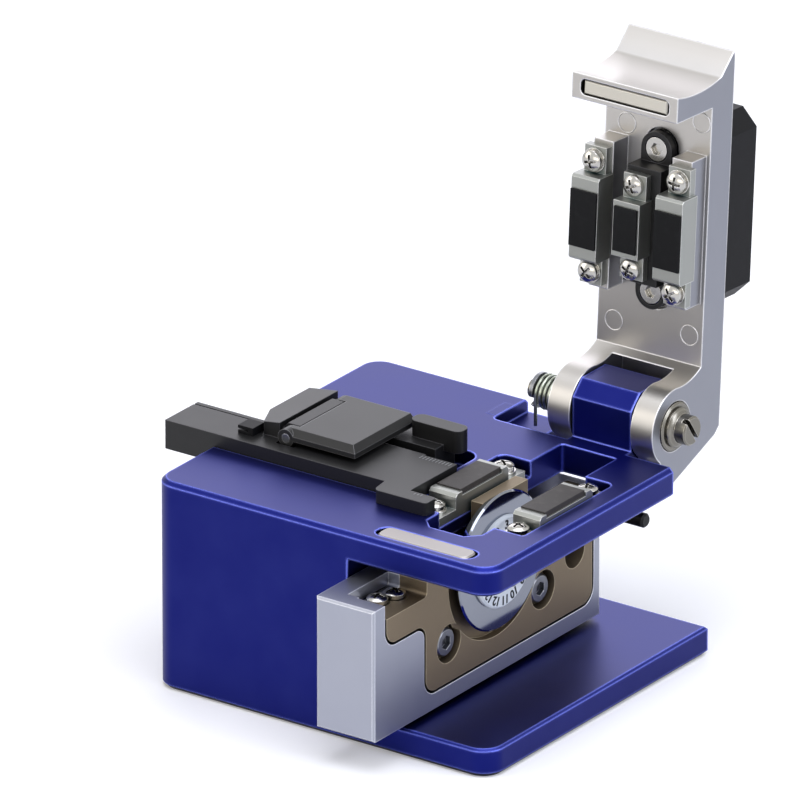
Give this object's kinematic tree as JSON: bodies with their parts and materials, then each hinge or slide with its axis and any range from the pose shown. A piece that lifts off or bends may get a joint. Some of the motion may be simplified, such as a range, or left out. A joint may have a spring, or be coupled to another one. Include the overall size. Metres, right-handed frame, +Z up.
{
  "type": "fibre cleaver",
  "caption": "Bench fibre cleaver: a slotted frame with a sliding round blade between two rubber anvils, a hinged clamping lid and a slip-in fibre holder.",
  "frame": {"origin": "centre of the frame's bottom face", "axes": "+X along the fibre, away from its holder; +Y from the plain front to the lid's hinge; +Z up"},
  "size_m": [0.0716, 0.0899, 0.095],
  "materials": {
    "blue_anodised": "satin blue anodised",
    "silver_alu": "satin",
    "bronze_plate": "satin bronze anodised",
    "steel": "satin",
    "bright_screw": "bright nickel",
    "blade_steel": "mirror polished",
    "black_metal": "matt black anodised",
    "black_screw": "black oxide",
    "black_plastic": "moulded",
    "pad_rubber": "smooth",
    "foot_rubber": "sheet",
    "dial_white": "printed ring",
    "magnet": "nickel plated, cream",
    "spring_steel": "drawn wire",
    "bush": "natural nylon"
  },
  "bodies": {
    "frame": {"body_frame": "blue_anodised", "base_pad": "foot_rubber", "strike_strip": "steel", "slide_rail": "steel", "rail_screws": "black_screw", "travel_stops": "steel", "anvil_left": "steel", "anvil_right": "steel", "anvil_rubber_left": "pad_rubber", "anvil_rubber_right": "pad_rubber", "anvil_screws": "bright_screw", "anvil_washers": "bright_screw", "hinge_screw": "steel", "hinge_bush": "bush", "spring_sleeve": "bush", "hinge_clip": "steel", "torsion_spring": "spring_steel", "holder_base": "black_metal", "clamp_pins": "steel", "holder_magnets": "magnet", "holder_latch": "black_plastic"},
    "carriage": {"carriage_body": "silver_alu", "carriage_plate": "bronze_plate", "plate_screws": "steel", "carriage_top_screws": "bright_screw", "return_pin": "black_screw", "blade_axle": "steel", "blade_spacer": "steel", "blade_clamp_screw": "steel", "slide_bearing": "steel", "bearing_screws": "black_screw"},
    "blade": {"blade": "blade_steel", "blade_dial": "dial_white"},
    "lid": {"lid_arm": "silver_alu", "lid_magnet": "magnet", "lid_pad_left": "steel", "lid_pad_right": "steel", "lid_rubber_left": "pad_rubber", "lid_rubber_right": "pad_rubber", "lid_pad_screws": "bright_screw", "lid_pad_washers": "bright_screw", "shoulder_screws": "steel", "lid_cover": "black_plastic", "cover_screws": "black_screw", "hinge_washer": "steel"},
    "centre": {"centre_bracket": "black_metal", "centre_pad": "steel", "centre_rubber": "pad_rubber", "centre_pad_screws": "bright_screw", "pressure_springs": "spring_steel"},
    "clamp": {"holder_clamp": "black_metal", "clamp_pad": "pad_rubber"}
  },
  "joints": [
    {"name": "lid_hinge", "type": "hinge", "parent": "frame", "child": "lid", "pos_m": [0.0172, 0.02665, 0.038], "axis": [1, 0, 0], "range_deg": [0, 93.5], "stiffness_Nm_per_rad": 0.012, "springref_deg": -20.05},
    {"name": "carriage_slide", "type": "slide", "parent": "frame", "child": "carriage", "axis": [0, 1, 0], "range_m": [0, 0.0125]},
    {"name": "blade_turn", "type": "hinge", "parent": "carriage", "child": "blade", "pos_m": [0.0164, -0.00575, 0.0246], "axis": [1, 0, 0], "continuous": true},
    {"name": "centre_pad_slide", "type": "slide", "parent": "lid", "child": "centre", "axis": [0, 0.9981, -0.061], "range_m": [0, 0.0008], "stiffness_N_per_m": 1000, "springref_m": -0.001},
    {"name": "clamp_hinge", "type": "hinge", "parent": "frame", "child": "clamp", "pos_m": [-0.0193, -0.0032, 0.0379], "axis": [0, -1, 0], "range_deg": [0, 105]}
  ]
}
